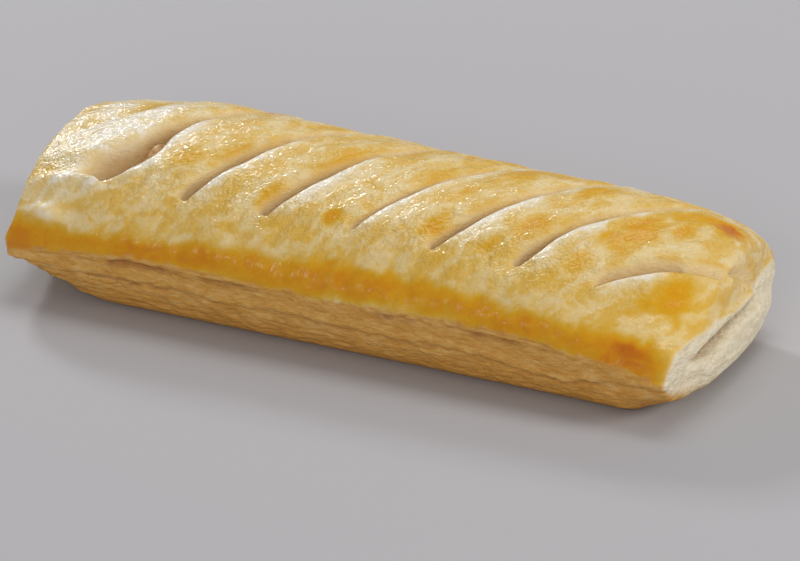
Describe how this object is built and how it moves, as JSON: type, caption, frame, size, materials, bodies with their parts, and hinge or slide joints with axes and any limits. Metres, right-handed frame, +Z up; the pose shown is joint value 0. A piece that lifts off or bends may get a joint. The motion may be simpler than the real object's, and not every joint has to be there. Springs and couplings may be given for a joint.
{
  "type": "sausage roll",
  "caption": "Baked puff pastry roll folded over a sausage meat filling, sealed along its front, slashed across its glazed top and open at both ends.",
  "frame": {"origin": "middle of the roll's footprint, on the surface that it rests on", "axes": "+X along the roll, +Y from the sealed side to the folded side, +Z up through the slashed top"},
  "size_m": [0.1639, 0.0618, 0.0355],
  "materials": {
    "baked_pastry": "egg-glazed baked puff pastry: pale cream where it swelled, golden in patches, brown along the sealed edge",
    "sausage_meat": "cooked, moist minced sausage meat, pinkish beige"
  },
  "bodies": {
    "root": {"pastry": "baked_pastry", "sausage_meat": "sausage_meat"}
  },
  "joints": []
}
